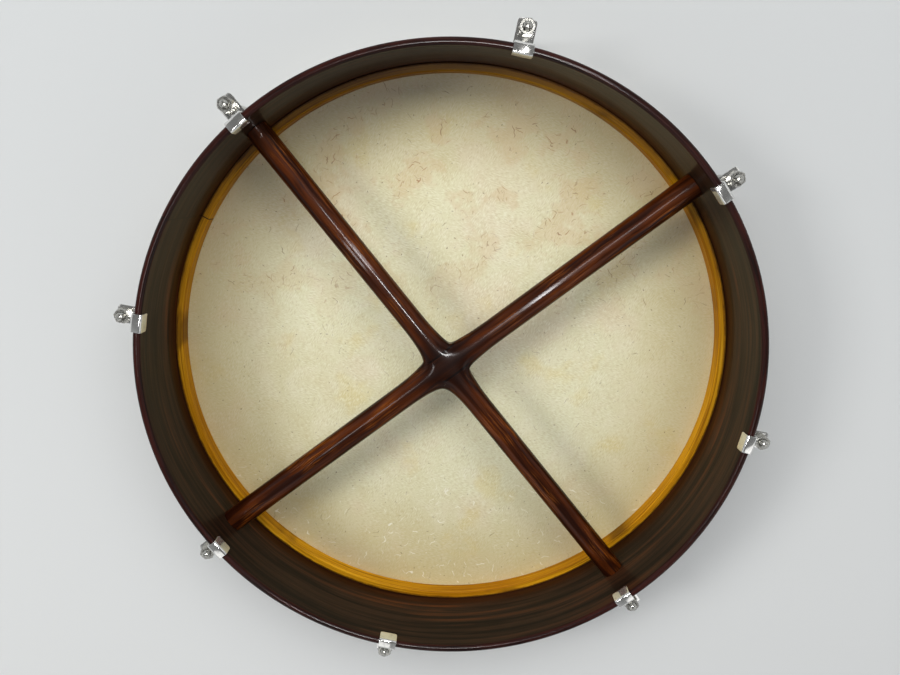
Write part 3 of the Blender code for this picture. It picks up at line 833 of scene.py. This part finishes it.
def nut_mesh():
    """A hexagon nut standing on z = 0, with the curved edges that its chamfers cut."""
    low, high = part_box("hook_nut_1")
    tall = high.z - low.z
    flat, bore, lead_in = NUT_HALF_FLATS, ROD_RADIUS + 0.0001, 0.0004
    circle = flat * 0.965
    slope = 0.577       # a 30 degree chamfer
    steps = 72
    bm = bmesh.new()
    rows = []

    def ring(radius_of, z_of):
        row = []
        for i in range(steps):
            a = 2 * pi * i / steps
            r = radius_of(a)
            row.append(bm.verts.new((r * cos(a), r * sin(a), z_of(r))))
        rows.append(row)

    def hexagon(a):
        return flat / cos((a + pi / 6) % (pi / 3) - pi / 6)

    ring(lambda a: bore, lambda r: lead_in)
    ring(lambda a: bore + lead_in, lambda r: 0.0)
    ring(lambda a: circle, lambda r: 0.0)
    ring(hexagon, lambda r: (r - circle) * slope)
    ring(hexagon, lambda r: tall - (r - circle) * slope)
    ring(lambda a: circle, lambda r: tall)
    ring(lambda a: bore + lead_in, lambda r: tall)
    ring(lambda a: bore, lambda r: tall - lead_in)
    for a, b in zip(rows, rows[1:] + rows[:1]):
        for i in range(steps):
            j = (i + 1) % steps
            bm.faces.new((a[i], a[j], b[j], b[i]))
    return smooth(mesh_of(bm, "nut"), 22.0)


def thread_radius(z, top, turn):
    """The rod's radius at height z and at this share of a turn, within its threaded end."""
    crest = ROD_RADIUS - THREAD_DEPTH * abs(2 * (((top - z) / THREAD_PITCH + turn) % 1.0) - 1)
    fade = max(min(1.0, (z - (top - THREAD_LENGTH)) / 0.002), 0.0)
    radius = ROD_RADIUS + (crest - ROD_RADIUS) * fade
    return min(radius, ROD_RADIUS - 0.0008 + (top - z) * 0.9)


def rod_mesh():
    """A J-shaped rod with a rolled thread on its top end, bent in under the counter hoop."""
    low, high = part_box("hook_rod_1")
    circle = middle("hook_nut_1").xy.length
    foot = low.z + ROD_RADIUS
    tip_length = 0.0006
    sides = 24
    thread_low = high.z - THREAD_LENGTH
    threaded = high.z - thread_low
    steps = ceil(threaded / THREAD_PITCH * 6)
    centres = [("thread", circle, high.z - threaded * i / steps) for i in range(steps + 1)]
    straight_end = foot + ROD_BEND
    centres += [("plain", circle, thread_low + (straight_end - thread_low) * i / 4) for i in range(1, 5)]
    centres += [("bend", r, z) for r, z in arc((circle - ROD_BEND, straight_end), ROD_BEND, 0, -90, 10)[1:]]
    centres.append(("bend", ROD_TIP_RADIUS + tip_length, foot))
    bm = bmesh.new()
    previous = None
    for index, (kind, r, z) in enumerate(centres):
        if kind == "bend":
            before = centres[index - 1]
            after = centres[min(index + 1, len(centres) - 1)]
            along = Vector((after[1] - before[1], 0.0, after[2] - before[2])).normalized()
        else:
            along = Vector((0.0, 0.0, -1.0))
        side = Vector((-along.z, 0.0, along.x))
        row = []
        for k in range(sides):
            a = 2 * pi * k / sides
            radius = thread_radius(z, high.z, k / sides) if kind == "thread" else ROD_RADIUS
            offset = side * cos(a) * radius + Vector((0.0, 1.0, 0.0)) * sin(a) * radius
            row.append(bm.verts.new(Vector((r, 0.0, z)) + offset))
        if previous:
            for k in range(sides):
                j = (k + 1) % sides
                bm.faces.new((previous[k], previous[j], row[j], row[k]))
        else:
            bm.faces.new(row)
        previous = row
    last_centre = Vector((ROD_TIP_RADIUS + tip_length, 0.0, foot))
    tip_centre = Vector((ROD_TIP_RADIUS, 0.0, foot))
    tip = [bm.verts.new(tip_centre + (v.co - last_centre) * 0.8) for v in previous]
    for k in range(sides):
        j = (k + 1) % sides
        bm.faces.new((previous[k], previous[j], tip[j], tip[k]))
    bm.faces.new(tip)
    return smooth(mesh_of(bm, "rod"), 50.0)


def make_tuners(plate, rod_steel, nut_steel):
    clip, nut, rod = clip_mesh(), nut_mesh(), rod_mesh()
    for number in TUNERS:
        angle = tuner_angle(number)
        turn = Matrix.Rotation(angle, 4, "Z")
        mesh = clip.copy()
        mesh.transform(turn)
        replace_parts(link(f"rim_clip_{number}", mesh, plate), f"clip_{number}")
        mesh = rod.copy()
        mesh.transform(turn)
        hook = link(f"tuning_hook_{number}", mesh, rod_steel, body="tension_hoop")
        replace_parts(hook, f"hook_rod_{number}")
        mesh = nut.copy()
        centre = middle(f"hook_nut_{number}")
        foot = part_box(f"hook_nut_{number}")[0].z
        spin = Matrix.Rotation(angle + radians(37.0 * number), 4, "Z")
        mesh.transform(Matrix.Translation((centre.x, centre.y, foot)) @ spin)
        piece = link(f"tuning_nut_{number}", mesh, nut_steel, body=f"nut_{number}")
        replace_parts(piece, f"hook_nut_{number}")


# Floor, lights and camera


def make_stage():
    """A pale floor, open under the drum so that the head is lit when it is seen from below."""
    look = Look("floor", Roughness=0.75, Specular_IOR_Level=0.2)
    _, y, _ = look.split(look.place)
    # Painted shade: the floor is darker towards +Y, where the ceiling panel lights it most, so that it looks
    # evenly lit.
    material = look.finish(look.mix(look.step(y, -0.42, 0.42), srgb(220, 221, 221), srgb(197, 199, 200)))
    mesh = turned("floor", [(FLOOR_OPENING, 0.0), (FLOOR_RADIUS, 0.0)], 128, closed=False)
    floor = link("floor", mesh, material, body=None)
    floor.location.z = cad_box[0][2]


def area_light(name, place, size, power, colour=(1.0, 1.0, 1.0), length=None, along=None):
    """A light aimed at the drum. One with an angle lies along it in plan, and only shows as a reflection."""
    light = bpy.data.lights.new(name, "AREA")
    light.shape = "RECTANGLE"
    light.size = length or size
    light.size_y = size
    light.energy = power
    light.color = colour
    obj = bpy.data.objects.new(name, light)
    bpy.context.scene.collection.objects.link(obj)
    away = Vector(place).normalized()
    turn = radians(along or 0.0)
    side = Vector((cos(turn), sin(turn), 0.0))
    side = (side - away * side.dot(away)).normalized()
    pose = Matrix((side, away.cross(side), away)).transposed().to_4x4()
    pose.translation = place
    obj.matrix_world = pose
    obj.visible_camera = False
    obj.visible_glossy = along is not None
    obj.visible_diffuse = along is None


def make_world():
    """A plain room: dark overhead and brighter towards the walls."""
    world = bpy.data.worlds.new("studio")
    bpy.context.scene.world = world
    world.use_nodes = True
    tree = world.node_tree
    split = tree.nodes.new("ShaderNodeSeparateXYZ")
    tree.links.new(tree.nodes.new("ShaderNodeTexCoord").outputs["Generated"], split.inputs[0])
    rise = tree.nodes.new("ShaderNodeMapRange")
    rise.interpolation_type = "SMOOTHSTEP"
    tree.links.new(split.outputs[2], rise.inputs[0])
    for i, value in enumerate((0.99, 0.30, 0.03, 0.68), start=1):
        rise.inputs[i].default_value = value
    background = tree.nodes["Background"]
    background.inputs["Color"].default_value = (0.94, 0.97, 1.0, 1.0)
    tree.links.new(rise.outputs[0], background.inputs["Strength"])


def make_lights():
    """Two soft panels light the drum. The strips and cards only show in the varnish and the metal."""
    area_light("ceiling_panel", (0.05, 1.05, 1.50), 1.0, 32.0, (1.0, 1.0, 0.985), length=2.8)
    area_light("window", (-2.10, 0.46, 1.83), 0.75, 27.0, (1.0, 0.995, 0.97))
    area_light("strip_cross_bar", (0.131, -0.006, 1.60), 0.08, 7.2, length=0.23, along=CROSS_BAR_ANGLE)
    area_light("strip_cross_bar_far", (-0.017, 0.185, 1.60), 0.08, 3.3, length=0.25, along=CROSS_BAR_ANGLE)
    area_light("strip_main_bar", (0.129, 0.228, 1.60), 0.10, 4.8, length=0.72, along=MAIN_BAR_ANGLE)
    area_light("strip_main_bar_low", (-0.52, -0.26, 1.60), 0.10, 2.4, length=0.36, along=MAIN_BAR_ANGLE)
    card_distance, card_height = 1.35, 1.30
    for angle, power in ((20.0, 1.0), (80.0, 1.4), (160.0, 0.7), (250.0, 1.2), (320.0, 1.4)):
        place = (card_distance * cos(radians(angle)), card_distance * sin(radians(angle)), card_height)
        area_light(f"card_{angle:.0f}", place, 0.50, power, length=0.90, along=angle + 90.0)


def make_camera():
    """The camera looks down into the open back, from a little towards the drum's uppermost side."""
    forward = Vector((-0.003, -0.2265, -0.974)).normalized()
    right = forward.cross(Vector((0, 0.974, -0.2265))).normalized()
    up = right.cross(forward)
    data = bpy.data.cameras.new("camera")
    data.sensor_width = 36.0
    data.lens = 27.04
    camera = bpy.data.objects.new("camera", data)
    bpy.context.scene.collection.objects.link(camera)
    pose = Matrix((right, up, -forward)).transposed().to_4x4()
    pose.translation = (0.0011, 0.138, 0.5433)
    camera.matrix_world = pose
    bpy.context.scene.camera = camera


make_camera()
make_world()
make_lights()
make_stage()
make_frame(frame_look("frame_varnish", 0.3, 1.24), frame_look("rim_varnish", 0.75, 1.27))
make_ring(ring_look())
make_skin(skin_look())
plate = metal_look("nickel_plate", (0.80, 0.79, 0.76), 0.88, 0.17, 0.25, 260.0)
steel = metal_look("dull_steel", (0.52, 0.51, 0.47), 1.0, 0.34, 0.5, 500.0)
brass = metal_look("aged_brass", (0.50, 0.36, 0.14), 1.0, 0.36, 0.6, 500.0)
make_hoop("tension_band", "counter_hoop", 0.0030, 0.0010, plate)
make_hoop("flesh_band", "flesh_hoop", 0.0036, 0.0012, steel)
make_crossbars(
    bar_look("main_bar_varnish", MAIN_BAR_ANGLE, 0.11), bar_look("cross_bar_varnish", CROSS_BAR_ANGLE, 0.07)
)
make_screws(brass)
make_tuners(plate, steel, steel)

bpy.context.scene.view_settings.view_transform = "Standard"
